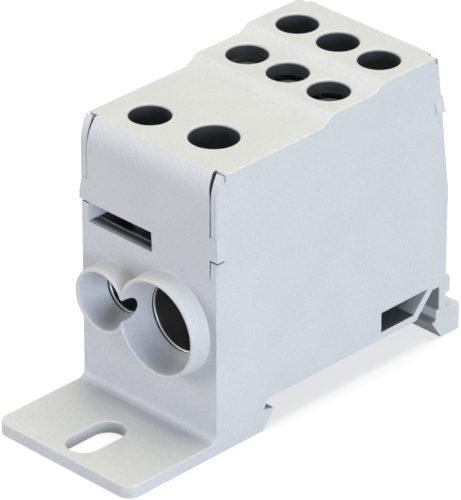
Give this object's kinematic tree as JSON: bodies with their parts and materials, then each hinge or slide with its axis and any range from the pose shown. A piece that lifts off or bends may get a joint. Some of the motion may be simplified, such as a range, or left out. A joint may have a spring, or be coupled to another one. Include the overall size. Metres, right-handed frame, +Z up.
{
  "type": "terminal block",
  "caption": "Single-pole distribution terminal block in grey plastic: funnel inputs in front, round outputs behind, screw access from above, clip for a mounting rail and a slotted ear.",
  "frame": {"origin": "middle of the bounding box at the height of the base", "axes": "+X from the ear to the latch foot along the length, +Y to the left across the width, +Z up"},
  "size_m": [0.0668, 0.0272, 0.0461],
  "materials": {
    "grey_plastic": "light grey moulded polyamide, fine satin texture",
    "tinned_metal": "tin-plated aluminium, satin",
    "plated_steel": "zinc-plated steel"
  },
  "bodies": {
    "housing": {"housing": "grey_plastic", "conductor_block": "tinned_metal"},
    "cover": {"cover": "grey_plastic"},
    "input_screw_large": {"input_screw_large": "plated_steel"},
    "input_screw_small": {"input_screw_small": "plated_steel"},
    "lower_output_screw_left": {"lower_output_screw_left": "plated_steel"},
    "lower_output_screw_middle": {"lower_output_screw_middle": "plated_steel"},
    "lower_output_screw_right": {"lower_output_screw_right": "plated_steel"},
    "upper_output_screw_left": {"upper_output_screw_left": "plated_steel"},
    "upper_output_screw_middle": {"upper_output_screw_middle": "plated_steel"},
    "upper_output_screw_right": {"upper_output_screw_right": "plated_steel"}
  },
  "joints": [
    {"name": "cover_lift", "type": "slide", "parent": "housing", "child": "cover", "axis": [0, 0, 1], "range_m": [0, 0.022]},
    {"name": "input_screw_large_travel", "type": "slide", "parent": "housing", "child": "input_screw_large", "axis": [0, 0, -1], "range_m": [0, 0.0084]},
    {"name": "input_screw_small_travel", "type": "slide", "parent": "housing", "child": "input_screw_small", "axis": [0, 0, -1], "range_m": [0, 0.0046]},
    {"name": "lower_output_screw_left_travel", "type": "slide", "parent": "housing", "child": "lower_output_screw_left", "axis": [0, 0, -1], "range_m": [0, 0.0044]},
    {"name": "lower_output_screw_middle_travel", "type": "slide", "parent": "housing", "child": "lower_output_screw_middle", "axis": [0, 0, -1], "range_m": [0, 0.0044]},
    {"name": "lower_output_screw_right_travel", "type": "slide", "parent": "housing", "child": "lower_output_screw_right", "axis": [0, 0, -1], "range_m": [0, 0.0044]},
    {"name": "upper_output_screw_left_travel", "type": "slide", "parent": "housing", "child": "upper_output_screw_left", "axis": [0, 0, -1], "range_m": [0, 0.0044]},
    {"name": "upper_output_screw_middle_travel", "type": "slide", "parent": "housing", "child": "upper_output_screw_middle", "axis": [0, 0, -1], "range_m": [0, 0.0044]},
    {"name": "upper_output_screw_right_travel", "type": "slide", "parent": "housing", "child": "upper_output_screw_right", "axis": [0, 0, -1], "range_m": [0, 0.0044]}
  ]
}
